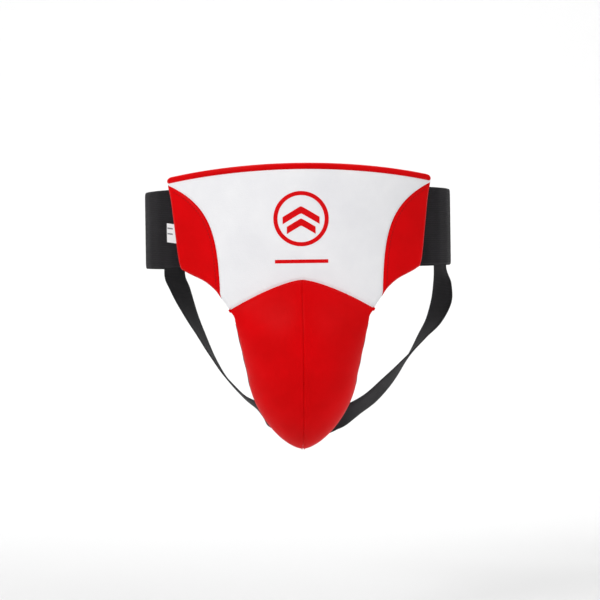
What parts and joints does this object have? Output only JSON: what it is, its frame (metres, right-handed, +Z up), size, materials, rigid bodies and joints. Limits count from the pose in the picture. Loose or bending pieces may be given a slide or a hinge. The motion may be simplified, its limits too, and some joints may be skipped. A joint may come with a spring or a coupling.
{
  "type": "groin protector",
  "caption": "Padded boxing groin protector with a domed cup, a wide elastic waistband that opens at the back, and two twisted leg straps.",
  "frame": {"origin": "centre of the waist opening, at half the height of the waistband", "axes": "+Z up along the wearer's waist, -Y to the front, +X to the viewer's right as seen from the front"},
  "size_m": [0.3189, 0.2602, 0.2822],
  "materials": {
    "white_pu_leather": "soft satin, fine pebble grain",
    "red_pu_leather": "soft satin, fine pebble grain",
    "red_film": "heat-pressed film, satin",
    "black_elastic": "woven elastic, ribbed",
    "black_fabric": "plain woven nylon lining",
    "hook_and_loop": "hook-and-loop tape",
    "grey_eva_foam": "closed-cell foam sheet, weighed as fabric",
    "moulded_shell": "injection moulded",
    "black_thread": "bonded polyester thread",
    "woven_label": "woven satin ribbon"
  },
  "bodies": {
    "front_guard": {"white_front_panel": "white_pu_leather", "left_side_panel": "red_pu_leather", "right_side_panel": "red_pu_leather", "cup_cover_left": "red_pu_leather", "cup_cover_right": "red_pu_leather", "top_gusset": "red_pu_leather", "waist_foam": "grey_eva_foam", "cup_foam": "grey_eva_foam", "hard_cup": "moulded_shell", "cup_cushion": "black_fabric", "waist_lining": "black_fabric", "cup_lining": "black_fabric", "emblem_ring": "red_film", "emblem_upper_chevron": "red_film", "emblem_lower_chevron": "red_film", "emblem_bar": "red_film", "size_label": "woven_label", "strap_anchor": "black_fabric", "left_side_band": "black_elastic", "right_side_band": "black_elastic", "left_leg_strap": "black_elastic", "right_leg_strap": "black_elastic", "left_band_lower_tack": "black_thread", "left_band_upper_tack": "black_thread", "left_strap_lower_tack": "black_thread", "left_strap_upper_tack": "black_thread", "right_band_lower_tack": "black_thread", "right_band_upper_tack": "black_thread", "right_strap_lower_tack": "black_thread", "right_strap_upper_tack": "black_thread"},
    "closure_half": {"right_rear_band": "black_elastic", "hook_patch": "hook_and_loop", "closure_pull_tab": "red_pu_leather"},
    "under_half": {"left_rear_band": "black_elastic", "loop_patch": "hook_and_loop", "left_end_binding": "black_fabric"}
  },
  "joints": [
    {"name": "closure_open", "type": "hinge", "parent": "front_guard", "child": "closure_half", "pos_m": [0.12104, 0.06942, 0], "axis": [0, 0, -1], "range_deg": [0, 105]},
    {"name": "under_half_open", "type": "hinge", "parent": "front_guard", "child": "under_half", "pos_m": [-0.12104, 0.06942, 0], "axis": [0, 0, 1], "range_deg": [0, 42]}
  ],
  "couplings": [
    {"joint": "under_half_open", "follows": "closure_open", "ratio": 0.4}
  ]
}
